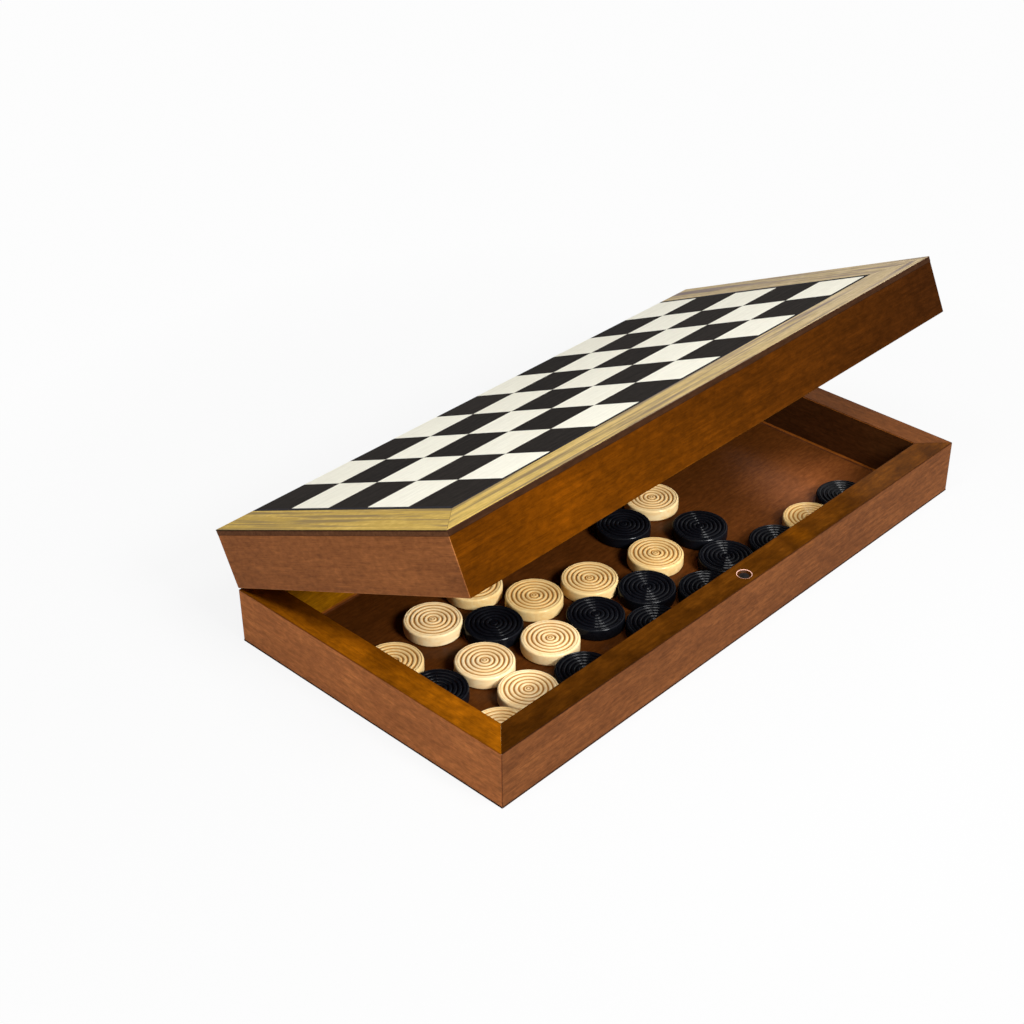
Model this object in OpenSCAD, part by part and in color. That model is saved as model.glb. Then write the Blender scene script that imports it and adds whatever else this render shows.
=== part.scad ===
// Folding draughts box: two shallow wooden trays hinged along the back, with half of a
// ten by ten board on the outside of each, and the loose draughts kept inside.
// The origin is the centre of the lower tray's underside; X runs along the hinge,
// Y from the front to the hinge side, Z up.

/* [Playing board] */
// Squares along the box; each half carries half as many across
squares = 10; // [8:2:12]
// Side of one square
square = 30.5; // [30:0.5:36]
// Margin from the outer squares to the edge of the box, with the stringing
border_w = 25; // [21:0.5:35]
// Dark stringing line between the squares and the border veneer
stringing_w = 2.5; // [1:0.25:4]
// Thickness of all the veneers
veneer_t = 0.6; // [0.4:0.05:0.8]

/* [Halves] */
// Height of each half with its board
half_h = 31; // [26:1:45]
// Thickness of the side rails
rail_t = 15; // [13:0.5:18]
// Thickness of each board panel with its veneers
panel_t = 3; // [2:0.25:5]
// Edge of the lower panel that shows below the tray's rails
lip_t = 1; // [0.9:0.05:1.5]
// Rebate in the tray's rails that the rest of the lower panel sits in
rebate_w = 7; // [4:0.5:10]
// Gap between the two rims when the box is shut
rim_gap = 0.4; // [0.3:0.1:0.8]
// Gap between the two halves along the hinge when the board lies open
seam = 0.5; // [0.4:0.1:1]
// Angle at which the lid stands open
lid_angle = 24.6; // [10:0.1:60]

/* [Hinges] */
// Distance of each hinge from the middle of the box
hinge_x = 112; // [60:1:130]
// Length of a hinge along the box
hinge_l = 26; // [22:1:36]
// Width of a leaf from the pin
leaf_w = 9; // [8:0.5:11]
// Thickness of a leaf
leaf_t = 0.8; // [0.7:0.1:1]
// Diameter of the knuckles
knuckle_d = 3.6; // [3:0.2:4.4]
// Diameter of the hinge pin
pin_d = 1.6; // [1.2:0.1:1.8]
// Radial clearance of the pin in the turning knuckle
pin_fit = 0.05; // [0.02:0.01:0.08]
// Clearance round the knuckles
knuckle_gap = 0.3; // [0.2:0.05:0.4]
// Distance between the two screws of a leaf
screw_pitch = 16; // [12:1:16]
// Diameter of a screw's head
screw_head_d = 3.4; // [3:0.1:4]
// Diameter of a screw's shank
screw_d = 1.8; // [1.6:0.1:2.2]
// Length of a screw
screw_l = 9; // [6:0.5:12]

/* [Magnets] */
// Diameter of a magnet
magnet_d = 5; // [3:0.5:6]
// Thickness of a magnet
magnet_t = 4; // [2:0.5:6]
// Distance of a magnet's centre from the front of the box
magnet_y = 6.5; // [5:0.5:8]
// Diameter of the bevelled mouth over a magnet
magnet_mouth_d = 8; // [7:0.5:9]
// Depth of a magnet's face below the rim
magnet_depth = 1; // [0.5:0.1:2]

/* [Draughts] */
// Diameter of a draught
draught_d = 29.5; // [26:0.5:30]
// Thickness of a draught
draught_t = 6.8; // [5:0.2:9]
// Least gap between neighbouring draughts
draught_gap = 0.3; // [0.3:0.05:1]
// Number of ring grooves on each face
ring_count = 5; // [3:1:6]
// Width of a ring groove
ring_w = 1.2; // [0.6:0.1:1.4]
// Depth of a ring groove
ring_depth = 0.45; // [0.2:0.05:0.7]
// Rounding of a draught's edge
draught_r = 0.9; // [0.4:0.1:1.2]

/* [Hidden] */
rows = squares / 2;
box_l = squares * square + 2 * border_w;
half_w = rows * square + border_w;
inner_l = box_l - 2 * rail_t;
inner_w = half_w - 2 * rail_t;
front_y = -half_w / 2;
back_y = half_w / 2;

axis_y = back_y + seam / 2;
axis_z = half_h + rim_gap / 2;
lid_rim_z = half_h + rim_gap;
lid_top_z = lid_rim_z + half_h;

cut = 1; // how far a cutting body runs past the face that it cuts
joint = 0.1; // glue line between neighbouring pieces of veneer
fit = 0.05; // radial clearance of a part that is pressed or screwed into a hole
sides = 64; // segments of the round parts
screw_tip_l = 2; // pointed end of a screw
slot_w = 0.6; // slot in a screw's head
slot_depth = 0.4;
knuckles = 3; // the middle one turns with the lid, the outer two stay with the tray
knuckle_l = (hinge_l - (knuckles - 1) * knuckle_gap) / knuckles;
knuckle_pitch = knuckle_l + knuckle_gap;
turned_knuckles = [0];
fixed_knuckles = [-1, 1];
screw_y = -(leaf_w + knuckle_d / 2) / 2; // from the pin
round_steps = 4; // facets round a draught's edge
draught_pitch = draught_d + draught_gap; // least distance between draughts
settle_steps = 400; // most rounds of pushing crowded draughts apart
ring_pitch = (draught_d / 2 - draught_r) / (ring_count + 1); // rings share out the flat face

// Where the draughts lie in the tray: shares of its inner length and width, from the inner
// corner at the front left.
light_at = [
    [0.160, 0.663], [0.142, 0.380], [0.248, 0.307], [0.138, 0.176], [0.310, 0.509],
    [0.403, 0.440], [0.527, 0.372], [0.050, 0.596], [0.050, 0.109], [0.268, 0.707],
    [0.648, 0.616], [0.781, 0.109]
];
dark_at = [
    [0.217, 0.501], [0.050, 0.388], [0.226, 0.109], [0.340, 0.287], [0.447, 0.261],
    [0.386, 0.109], [0.555, 0.576], [0.637, 0.366], [0.598, 0.178], [0.510, 0.109],
    [0.689, 0.109], [0.875, 0.109]
];

function numbered(base, list) = [for (i = [1 : len(list)]) str(base, i < 10 ? "0" : "", i)];
light_names = numbered("light_draught_", light_at);
dark_names = numbered("dark_draught_", dark_at);

// ---- shapes that both halves use ----

// A rail with mitred ends. Its outer face lies on y = 0 and its thickness along +y.
module mitred_rail(length, height) {
    linear_extrude(height)
        polygon([
            [-length / 2, 0], [length / 2, 0],
            [length / 2 - rail_t, rail_t], [-length / 2 + rail_t, rail_t]
        ]);
}

module front_rail(height) {
    translate([0, front_y, 0]) mitred_rail(box_l, height);
}

module back_rail(height) {
    translate([0, back_y, 0]) rotate([0, 0, 180]) mitred_rail(box_l, height);
}

module left_rail(height) {
    translate([-box_l / 2, 0, 0]) rotate([0, 0, -90]) mitred_rail(half_w, height);
}

module right_rail(height) {
    translate([box_l / 2, 0, 0]) rotate([0, 0, 90]) mitred_rail(half_w, height);
}

// A flat plate centred on the box, drawn in from its edges by inset.
module plate(inset, z0, z1) {
    translate([-box_l / 2 + inset, front_y + inset, z0])
        cube([box_l - 2 * inset, half_w - 2 * inset, z1 - z0]);
}

// The squares of one colour. Row 0 lies along the hinge edge.
module squares_of(parity) {
    for (i = [0 : squares - 1], j = [0 : rows - 1])
        if ((i + j) % 2 == parity)
            translate([
                -box_l / 2 + border_w + i * square + joint / 2,
                back_y - (j + 1) * square + joint / 2,
                0
            ])
                cube([square - joint, square - joint, veneer_t]);
}

// One strip of a mitred frame round three sides of the field, open at the hinge edge.
// It runs from the inset "outer" to the inset "inner", both counted from the box's edge.
module front_strip(outer, inner) {
    half_l = box_l / 2 - joint;
    linear_extrude(veneer_t)
        polygon([
            [-half_l + outer, front_y + outer], [half_l - outer, front_y + outer],
            [half_l - inner, front_y + inner], [-half_l + inner, front_y + inner]
        ]);
}

module end_strip(outer, inner) {
    linear_extrude(veneer_t)
        polygon([
            [-box_l / 2 + outer, front_y + outer], [-box_l / 2 + inner, front_y + inner],
            [-box_l / 2 + inner, back_y], [-box_l / 2 + outer, back_y]
        ]);
}

module three_sided_frame(outer, inner) {
    front_strip(outer, inner);
    end_strip(outer, inner);
    mirror([1, 0, 0]) end_strip(outer, inner);
}

// ---- fittings, drawn for the tray and turned over for the lid ----

// Turns what is drawn for the tray's rim over onto the lid's rim.
module on_lid_rim() {
    translate([0, 0, axis_z]) mirror([0, 0, 1]) translate([0, 0, -axis_z]) children();
}

// Stands what is drawn for a shut lid open at the lid's angle.
module opened() {
    translate([0, axis_y, axis_z]) rotate([-lid_angle, 0, 0])
        translate([0, -axis_y, -axis_z]) children();
}

module along_pin(x, length, radius) {
    translate([x - length / 2, axis_y, axis_z]) rotate([0, 90, 0])
        cylinder(h = length, r = radius, $fn = sides);
}

module leaf_plate(x) {
    translate([x - hinge_l / 2, axis_y - leaf_w, half_h - leaf_t])
        cube([hinge_l, leaf_w, leaf_t]);
}

module at_screws(x) {
    for (side = [-1, 1])
        translate([x + side * screw_pitch / 2, axis_y + screw_y, half_h]) children();
}

// Countersunk screw with its head's face on z = 0; grow widens it into its hole.
module screw_body(grow) {
    head_r = screw_head_d / 2 + grow;
    shank_r = screw_d / 2 + grow;
    translate([0, 0, -leaf_t]) cylinder(h = leaf_t, r1 = shank_r, r2 = head_r, $fn = sides);
    translate([0, 0, -screw_l + screw_tip_l])
        cylinder(h = screw_l - screw_tip_l - leaf_t, r = shank_r, $fn = sides);
    translate([0, 0, -screw_l]) cylinder(h = screw_tip_l, r1 = grow, r2 = shank_r, $fn = sides);
}

module slotted_screw() {
    difference() {
        screw_body(0);
        translate([-screw_head_d, -slot_w / 2, -slot_depth])
            cube([2 * screw_head_d, slot_w, slot_depth + cut]);
    }
}

// Leaf for the tray's rim with the knuckles at the given places along its pin.
module leaf(x, own, other, bore_r) {
    difference() {
        union() {
            leaf_plate(x);
            for (k = own) along_pin(x + k * knuckle_pitch, knuckle_l, knuckle_d / 2);
        }
        for (k = other)
            along_pin(
                x + k * knuckle_pitch, knuckle_l + 2 * knuckle_gap, knuckle_d / 2 + knuckle_gap
            );
        along_pin(x, hinge_l + 2 * cut, bore_r);
        at_screws(x) screw_body(fit);
    }
}

// What a hinge takes out of a back rail: the leaf's recess, room for the knuckles and
// the screw holes.
module hinge_recess(x) {
    leaf_plate(x);
    along_pin(x, hinge_l + 2 * knuckle_gap, knuckle_d / 2 + knuckle_gap);
    at_screws(x) screw_body(fit);
}

module magnet_seat() {
    translate([0, front_y + magnet_y, half_h - magnet_depth]) {
        cylinder(h = magnet_depth, r1 = magnet_d / 2 + fit, r2 = magnet_mouth_d / 2, $fn = sides);
        translate([0, 0, -magnet_t]) cylinder(h = magnet_t, r = magnet_d / 2 + fit, $fn = sides);
    }
}

module magnet() {
    translate([0, front_y + magnet_y, half_h - magnet_depth - magnet_t])
        cylinder(h = magnet_t, r = magnet_d / 2, $fn = sides);
}

// ---- tray ----

module tray_rail_height() {
    difference() {
        translate([0, 0, lip_t]) children();
        plate(rail_t - rebate_w, 0, panel_t);
    }
}

module tray_front_rail() {
    color("#8a4a2c")
        difference() {
            tray_rail_height() front_rail(half_h - lip_t);
            magnet_seat();
        }
}

module tray_back_rail() {
    color("#8a4a2c")
        difference() {
            tray_rail_height() back_rail(half_h - lip_t);
            for (side = [-1, 1]) hinge_recess(side * hinge_x);
        }
}

module tray_left_rail() {
    color("#93502f") tray_rail_height() left_rail(half_h - lip_t);
}

module tray_right_rail() {
    color("#93502f") tray_rail_height() right_rail(half_h - lip_t);
}

module tray_panel() {
    color("#4a2412") {
        plate(0, veneer_t, lip_t);
        plate(rail_t - rebate_w, lip_t, panel_t);
    }
}

module tray_dark_squares() {
    color("#231c1a") squares_of(1);
}

module tray_light_squares() {
    color("#f0ead8") squares_of(0);
}

module tray_stringing() {
    color("#2c2220") three_sided_frame(border_w - stringing_w, border_w);
}

module tray_border_veneer() {
    color("#b7a878") three_sided_frame(0, border_w - stringing_w);
}

// ---- lid, drawn shut and then opened ----

module lid_rail_height() {
    translate([0, 0, lid_rim_z]) children();
}

module lid_front_rail() {
    color("#96571c")
        opened() difference() {
            lid_rail_height() front_rail(half_h - panel_t);
            on_lid_rim() magnet_seat();
        }
}

module lid_back_rail() {
    color("#8a4a2c")
        opened() difference() {
            lid_rail_height() back_rail(half_h - panel_t);
            on_lid_rim() for (side = [-1, 1]) hinge_recess(side * hinge_x);
        }
}

module lid_left_rail() {
    color("#8a4a2c") opened() lid_rail_height() left_rail(half_h - panel_t);
}

module lid_right_rail() {
    color("#8a4a2c") opened() lid_rail_height() right_rail(half_h - panel_t);
}

module lid_panel() {
    color("#4a2412") opened() plate(0, lid_top_z - panel_t, lid_top_z - veneer_t);
}

module on_lid_face() {
    opened() translate([0, 0, lid_top_z - veneer_t]) children();
}

module lid_dark_squares() {
    color("#231c1a") on_lid_face() squares_of(0);
}

module lid_light_squares() {
    color("#f0ead8") on_lid_face() squares_of(1);
}

module lid_stringing() {
    color("#2c2220") on_lid_face() three_sided_frame(border_w - stringing_w, border_w);
}

module lid_border_veneer() {
    color("#b7a878") on_lid_face() three_sided_frame(0, border_w - stringing_w);
}

// ---- hinges and magnets ----

module hinge_tray_leaf(x) {
    color("#b08d4a") leaf(x, fixed_knuckles, turned_knuckles, pin_d / 2);
}

module hinge_lid_leaf(x) {
    color("#b08d4a")
        opened() on_lid_rim() leaf(x, turned_knuckles, fixed_knuckles, pin_d / 2 + pin_fit);
}

module hinge_pin(x) {
    color("#8d713c") along_pin(x, hinge_l, pin_d / 2);
}

module tray_hinge_screws() {
    color("#c7a65c") for (side = [-1, 1]) at_screws(side * hinge_x) slotted_screw();
}

module lid_hinge_screws() {
    color("#c7a65c")
        opened() on_lid_rim()
            for (side = [-1, 1]) at_screws(side * hinge_x) slotted_screw();
}

module tray_magnet() {
    color("#6d6a68") magnet();
}

module lid_magnet() {
    color("#6d6a68") opened() on_lid_rim() magnet();
}

// ---- draughts ----

function total(list, from = 0) = from == len(list) ? [0, 0] : list[from] + total(list, from + 1);

function held_within(value, limit, margin) = min(max(value, margin), limit - margin);

// The place nearest to p that keeps the margin from the tray's walls.
function inside_tray(p, margin) = [
    held_within(p[0], inner_l, margin), held_within(p[1], inner_w, margin)
];

// How far a draught at a moves off from one at b that it crowds.
function push(a, b) =
    let (d = norm(a - b))
        d > 0 && d < draught_pitch ? (a - b) / d * (draught_pitch - d) / 2 : [0, 0];

function pushed(centres) = [
    for (a = centres)
        inside_tray(a + total([for (b = centres) push(a, b)]), draught_pitch / 2)
];

// Whether all draughts are clear of each other and of the walls by half the gap or more.
function are_clear(centres) =
    let (
        least = draught_d + draught_gap / 2,
        last = len(centres) - 1,
        crowded = [
            for (i = [0 : last - 1], j = [i + 1 : last])
                if (norm(centres[i] - centres[j]) < least) i
        ],
        outside = [for (p = centres) if (norm(p - inside_tray(p, least / 2)) > 0) p]
    )
        len(crowded) + len(outside) == 0;

// Draughts that a changed size makes too crowded are pushed apart until they are clear.
function settled(centres, steps) =
    steps == 0 || are_clear(centres) ? centres : settled(pushed(centres), steps - 1);

centres = settled(
    [for (share = concat(light_at, dark_at)) [share[0] * inner_l, share[1] * inner_w]],
    settle_steps
);

// One face of a draught, from the centre outwards: flat rings with grooves between.
function face_profile() = [
    for (k = [1 : ring_count], step = [-1, 0, 1])
        [k * ring_pitch + step * ring_w / 2, draught_t - (step == 0 ? ring_depth : 0)]
];

// The rounded edge, from the face to the middle of the side.
function edge_profile() = [
    for (i = [0 : round_steps])
        let (a = 90 - 90 * i / round_steps)
            [
                draught_d / 2 - draught_r + draught_r * cos(a),
                draught_t - draught_r + draught_r * sin(a)
            ]
];

function turned_over(points) = [
    for (i = [len(points) - 1 : -1 : 0]) [points[i][0], draught_t - points[i][1]]
];

module draught(centre, tint) {
    upper = concat([[0, draught_t]], face_profile(), edge_profile());
    color(tint)
        translate([centre[0] - inner_l / 2, centre[1] - inner_w / 2, panel_t])
            rotate_extrude($fn = sides) polygon(concat(upper, turned_over(upper)));
}

module light_draught(i) {
    draught(centres[i], "#e3c08c");
}

module dark_draught(i) {
    draught(centres[len(light_at) + i], "#17161a");
}

tray_front_rail();
tray_back_rail();
tray_left_rail();
tray_right_rail();
tray_panel();
tray_dark_squares();
tray_light_squares();
tray_stringing();
tray_border_veneer();
lid_front_rail();
lid_back_rail();
lid_left_rail();
lid_right_rail();
lid_panel();
lid_dark_squares();
lid_light_squares();
lid_stringing();
lid_border_veneer();
hinge_tray_leaf(-hinge_x);  // left_hinge_tray_leaf
hinge_lid_leaf(-hinge_x);  // left_hinge_lid_leaf
hinge_pin(-hinge_x);  // left_hinge_pin
hinge_tray_leaf(hinge_x);  // right_hinge_tray_leaf
hinge_lid_leaf(hinge_x);  // right_hinge_lid_leaf
hinge_pin(hinge_x);  // right_hinge_pin
tray_hinge_screws();
lid_hinge_screws();
tray_magnet();
lid_magnet();
for (i = [0 : len(light_at) - 1])
    light_draught(i);
for (i = [0 : len(dark_at) - 1])
    dark_draught(i);
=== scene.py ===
import math
import random

import bmesh
import bpy
from mathutils import Matrix, Vector


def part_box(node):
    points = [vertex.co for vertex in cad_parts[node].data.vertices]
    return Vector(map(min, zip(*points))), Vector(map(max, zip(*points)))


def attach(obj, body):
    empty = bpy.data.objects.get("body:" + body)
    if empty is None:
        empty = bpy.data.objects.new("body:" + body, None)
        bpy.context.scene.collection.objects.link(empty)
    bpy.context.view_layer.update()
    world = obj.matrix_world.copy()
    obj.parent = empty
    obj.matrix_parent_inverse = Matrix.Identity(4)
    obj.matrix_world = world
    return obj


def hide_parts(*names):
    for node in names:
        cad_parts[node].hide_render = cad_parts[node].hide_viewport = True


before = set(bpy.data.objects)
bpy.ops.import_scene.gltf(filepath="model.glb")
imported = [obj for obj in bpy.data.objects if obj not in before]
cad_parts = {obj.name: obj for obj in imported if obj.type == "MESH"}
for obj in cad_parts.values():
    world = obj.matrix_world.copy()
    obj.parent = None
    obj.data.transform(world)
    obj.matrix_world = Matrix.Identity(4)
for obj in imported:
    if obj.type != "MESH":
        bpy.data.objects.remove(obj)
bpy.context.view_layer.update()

# ---- sizes, in metres, in the frame of the CAD part ----

BOX_L = 0.355
HALF_W = 0.1775
HALF_H = 0.031
RAIL = 0.015
EASE = 0.0005
MITRE_LINE = 0.00003
RIM_GAP = 0.0004
LID_RIM_Z = HALF_H + RIM_GAP
LID_TOP_Z = LID_RIM_Z + HALF_H
# A rail's outward way, by the side of the box that it is on.
SIDES = {"front": (0, -1), "back": (0, 1), "left": (-1, 0), "right": (1, 0)}

PANEL = 0.003
PANEL_EASE = 0.0002
LIP = 0.001
REBATE_INSET = 0.008
# The fillet at the foot of the tray's inner walls, and how far its middle stands off.
FOOT = 0.0014
FOOT_MIDDLE = 0.3

SQUARES = 10
ROWS = 5
SQUARE = 0.0305
BORDER = 0.025
STRINGING = 0.0025
VENEER = 0.0006
VENEER_JOINT = 0.0001
VENEER_EASE = 0.00006

HINGE_X = 0.112
HINGE_L = 0.026
LEAF_W = 0.009
LEAF_T = 0.0008
KNUCKLE_CLEAR_R = 0.0021
KNUCKLE_CLEAR_L = 0.0266

MAGNET_Y = -HALF_W / 2 + 0.0065
MAGNET_R = 0.00255
MAGNET_MOUTH_R = 0.004
MAGNET_LIP_R = 0.00362
MAGNET_LIP_DEPTH = 0.00015
MAGNET_DEPTH = 0.001
MAGNET_SEAT = 0.005
# How far the cutters reach past the rim and into each other, as shares of a size.
OVERSHOOT = 0.1
OVERLAP = 0.05

DRAUGHT_R = 0.01475
DRAUGHT_T = 0.0068
EDGE_R = 0.0012
RINGS = 5
RING_DEPTH = 0.00065
# The last ring's crest runs into the rounded edge.
RINGS_R = DRAUGHT_R - EDGE_R * 0.75
RING_PITCH = RINGS_R / (RINGS + 1)
# The crests' shoulders are rounded, and a groove is narrower than a plain wave.
SHOULDER_DROP = 0.0001
GROOVE_POWER = 3
# The mark of the lathe's centre: (radius, depth, groove share), and where the rings take over.
CENTRE_MARK = [(0.0, 0.00002, 0.0), (0.0005, 0.00004, 0.0), (0.0009, 0.00026, 1.0)]
CENTRE_R = 0.0012

# How finely the round forms are stepped.
BEVEL_PROFILE = 0.5
RAIL_EASE_STEPS = 3
SMALL_EASE_STEPS = 2
CUTTER_SIDES = 64
RING_STEPS = 10
EDGE_STEPS = 6
TURNS = 80

# The lid's pieces are made in the shut box's frame and stand open in the photograph.
LID_ANGLE = math.radians(24.6)
AXIS_Y = 0.089
AXIS_Z = 0.0312
AXIS = Vector((0, AXIS_Y, AXIS_Z))
SWING = Matrix.Rotation(-LID_ANGLE, 4, "X")
OPENED = Matrix.Translation(AXIS) @ SWING @ Matrix.Translation(-AXIS)
SHUT = Matrix.Identity(4)

# How much of a face's normal points some way when the face is flat, looks mostly that way,
# looks a little that way, or is a rail's upper face.
STRAIGHT = 0.999
MOSTLY = 0.5
LITTLE = 0.2
UPWARD = 0.7
# The same for the lip of a magnet's mouth, which is neither upright nor level, and the share
# of the lip's inner radius from which its faces are looked for.
SLANTED = (0.05, 0.97)
LIP_FROM = 0.98
# The grain of each plank is read from a place of its own, up to this far away.
GRAIN_SHIFT = 40


# ---- meshes ----

def link(name, mesh, body, material, place):
    """A new piece at its place, riding on its body, with its finish."""
    obj = bpy.data.objects.new(name, mesh)
    bpy.context.scene.collection.objects.link(obj)
    obj.matrix_world = place
    mesh.materials.append(material)
    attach(obj, body)
    return obj


def to_mesh(bm, name):
    mesh = bpy.data.meshes.new(name)
    bm.to_mesh(mesh)
    bm.free()
    return mesh


def grain_shift(draw):
    """Three draws, which move the grain of a small piece."""
    return Vector((draw.uniform(0, GRAIN_SHIFT) for _ in range(3)))


def in_grain(point, turned):
    """A point as along, across and into the grain, which runs along Y if turned, or else X."""
    x, y, z = point
    return Vector((y, x, z) if turned else (x, y, z))


def set_grain(mesh, turned, seed):
    """Stores where each point lies in its own plank, moved by one draw along all three axes."""
    shift = Vector([random.Random(seed).uniform(0, GRAIN_SHIFT)] * 3)
    grain = mesh.attributes.new("grain", "FLOAT_VECTOR", "POINT")
    for vertex, value in zip(mesh.vertices, grain.data):
        value.vector = in_grain(vertex.co, turned) + shift


def set_numbers(mesh, name, values, domain="FACE"):
    """Stores one number for each face, or for each corner of each face."""
    layer = mesh.attributes.new(name, "FLOAT", domain)
    layer.data.foreach_set("value", values)


def is_eased(face):
    return max(abs(c) for c in face.normal) < STRAIGHT


def set_edges(mesh, tone):
    """Marks the eased edges: lighter (1) where the finish wears thin and as a painted highlight,
    darker (-1) where staining gathers and as painted shade.
    """
    set_numbers(mesh, "edge", [tone if is_eased(face) else 0.0 for face in mesh.polygons])


def place_of(face, side):
    """Which part of a rail a face belongs to. The lid's open rim faces down and is outer."""
    sx, sy = SIDES[side]
    out = face.normal.x * sx + face.normal.y * sy
    if face.normal.z > UPWARD:
        return "rim"
    if out < -LITTLE:
        return "foot" if face.normal.z > LITTLE else "inner"
    return "outer"


def set_stain(mesh, half, side):
    """How deep each face of a rail has taken its finish, with painted shade and light on top
    (stain), and how golden it is painted for the light it catches (gold).
    """
    stain = []
    gold = []
    for face in mesh.polygons:
        place = place_of(face, side)
        line = STAINS_AND_SHADE.get((half, side, place), STAINS_AND_SHADE[half, place])
        left, right, outside, painted_golden_light_left, painted_golden_light_right = line
        for corner in face.vertices:
            x, y, z = mesh.vertices[corner].co
            along = x / BOX_L + 0.5
            inset = min(BOX_L / 2 - abs(x), HALF_W / 2 - abs(y)) / RAIL
            stain.append(left + (right - left) * along + (outside - left) * (1 - inset))
            gold.append(painted_golden_light_left + (painted_golden_light_right - painted_golden_light_left) * along)
    set_numbers(mesh, "stain", stain, "CORNER")
    set_numbers(mesh, "gold", gold, "CORNER")


def ring_mesh(section, ease_at):
    """A closed frame: the section's points (inset, z) swept round the box, with eased edges."""
    bm = bmesh.new()
    corners = ((-1, -1), (1, -1), (1, 1), (-1, 1))
    loops = [
        [bm.verts.new((sx * (BOX_L / 2 - d), sy * (HALF_W / 2 - d), z)) for d, z in section]
        for sx, sy in corners
    ]
    runs = list(zip(loops, loops[1:] + loops[:1]))
    count = len(section)
    for here, there in runs:
        for i in range(count):
            j = (i + 1) % count
            bm.faces.new((here[i], there[i], there[j], here[j]))
    bmesh.ops.recalc_face_normals(bm, faces=bm.faces)
    eased = []
    for here, there in runs:
        eased += [bm.edges.get((here[i], there[i])) for i in ease_at]
        eased.append(bm.edges.get((here[0], here[1])))
    bmesh.ops.bevel(
        bm,
        geom=eased,
        offset=EASE,
        segments=RAIL_EASE_STEPS,
        profile=BEVEL_PROFILE,
        affect="EDGES",
        clamp_overlap=True,
    )
    return bm


def cut_rail(ring, way):
    """One mitred rail out of the frame, on the side that lies that way."""
    bm = ring.copy()
    sx, sy = way
    for turn in (-1, 1):
        corner_x = sx if sx else turn
        corner_y = sy if sy else turn
        corner = Vector((corner_x * BOX_L / 2, corner_y * HALF_W / 2, 0))
        diagonal = Vector((-corner_x, -corner_y, 0)).normalized()
        normal = Vector((-diagonal.y, diagonal.x, 0))
        inward = Vector((0 if sx else -turn, 0 if sy else -turn, 0))
        if normal.dot(inward) < 0:
            normal.negate()
        cut = bmesh.ops.bisect_plane(
            bm,
            geom=bm.verts[:] + bm.edges[:] + bm.faces[:],
            plane_co=corner + normal * MITRE_LINE,
            plane_no=normal,
            clear_inner=True,
        )
        edges = [e for e in cut["geom_cut"] if isinstance(e, bmesh.types.BMEdge)]
        bmesh.ops.holes_fill(bm, edges=edges)
    far_side = [v for v in bm.verts if v.co.x * sx + v.co.y * sy < 0]
    bmesh.ops.delete(bm, geom=far_side, context="VERTS")
    bmesh.ops.recalc_face_normals(bm, faces=bm.faces)
    return bm


def ease_edges(bm, edges, offset):
    """Rounds small edges."""
    bmesh.ops.bevel(
        bm,
        geom=edges,
        offset=offset,
        segments=SMALL_EASE_STEPS,
        profile=BEVEL_PROFILE,
        affect="EDGES",
    )


def add_box(bm, low, high, ease=0.0):
    """Adds a box to the mesh, its edges eased if asked."""
    made = bmesh.ops.create_cube(bm, size=1.0)["verts"]
    centre = (Vector(low) + Vector(high)) / 2
    span = Vector(high) - Vector(low)
    for v in made:
        v.co = Vector((v.co.x * span.x, v.co.y * span.y, v.co.z * span.z)) + centre
    if ease:
        edges = dict.fromkeys(e for v in made for e in v.link_edges)
        ease_edges(bm, list(edges), ease)


def add_prism(bm, outline, low, high):
    """Adds an upright prism over an outline that runs anticlockwise, its top edges eased."""
    bottom = [bm.verts.new((x, y, low)) for x, y in outline]
    top = [bm.verts.new((x, y, high)) for x, y in outline]
    lid = bm.faces.new(top)
    bm.faces.new(bottom[::-1])
    for i in range(len(outline)):
        j = (i + 1) % len(outline)
        bm.faces.new((bottom[i], bottom[j], top[j], top[i]))
    ease_edges(bm, list(lid.edges), VENEER_EASE)


def cone_cutter(centre, r_low, r_high, low, high, lying=False):
    """A closed cone or cylinder from low to high, upright or lying along X."""
    bm = bmesh.new()
    rows = []
    for r, h in ((r_low, low), (r_high, high)):
        row = []
        for i in range(CUTTER_SIDES):
            a = 2 * math.pi * i / CUTTER_SIDES
            u, v = r * math.cos(a), r * math.sin(a)
            point = (h, u, v) if lying else (u, v, h)
            row.append(bm.verts.new(Vector(centre) + Vector(point)))
        rows.append(row)
    for i in range(CUTTER_SIDES):
        j = (i + 1) % CUTTER_SIDES
        bm.faces.new((rows[0][i], rows[0][j], rows[1][j], rows[1][i]))
    bm.faces.new(rows[0][::-1])
    bm.faces.new(rows[1])
    return bm


def carve(obj, cutters):
    """Takes the cutters, made in the piece's own frame, out of it for good."""
    for bm in cutters:
        bmesh.ops.recalc_face_normals(bm, faces=bm.faces)
        cutter = bpy.data.objects.new("cutter", to_mesh(bm, "cutter"))
        bpy.context.scene.collection.objects.link(cutter)
        cutter.matrix_world = obj.matrix_world
        modifier = obj.modifiers.new("cut", "BOOLEAN")
        modifier.object = cutter
        modifier.operation = "DIFFERENCE"
        modifier.solver = "EXACT"
        bpy.context.view_layer.update()
        depsgraph = bpy.context.evaluated_depsgraph_get()
        result = bpy.data.meshes.new_from_object(obj.evaluated_get(depsgraph))
        obj.modifiers.clear()
        old = obj.data
        obj.data = result
        bpy.data.meshes.remove(old)
        bpy.data.objects.remove(cutter)


# ---- node graphs ----

# Where the Mix node for colours keeps its factor, its two colours and its result.
MIX_FACTOR = 0
MIX_A = 6
MIX_B = 7
MIX_RESULT = 2
# The middle of a noise, and the range that nearly all of it lies in.
MIDDLE = 0.5
MOST = (0.3, 0.7)


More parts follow.
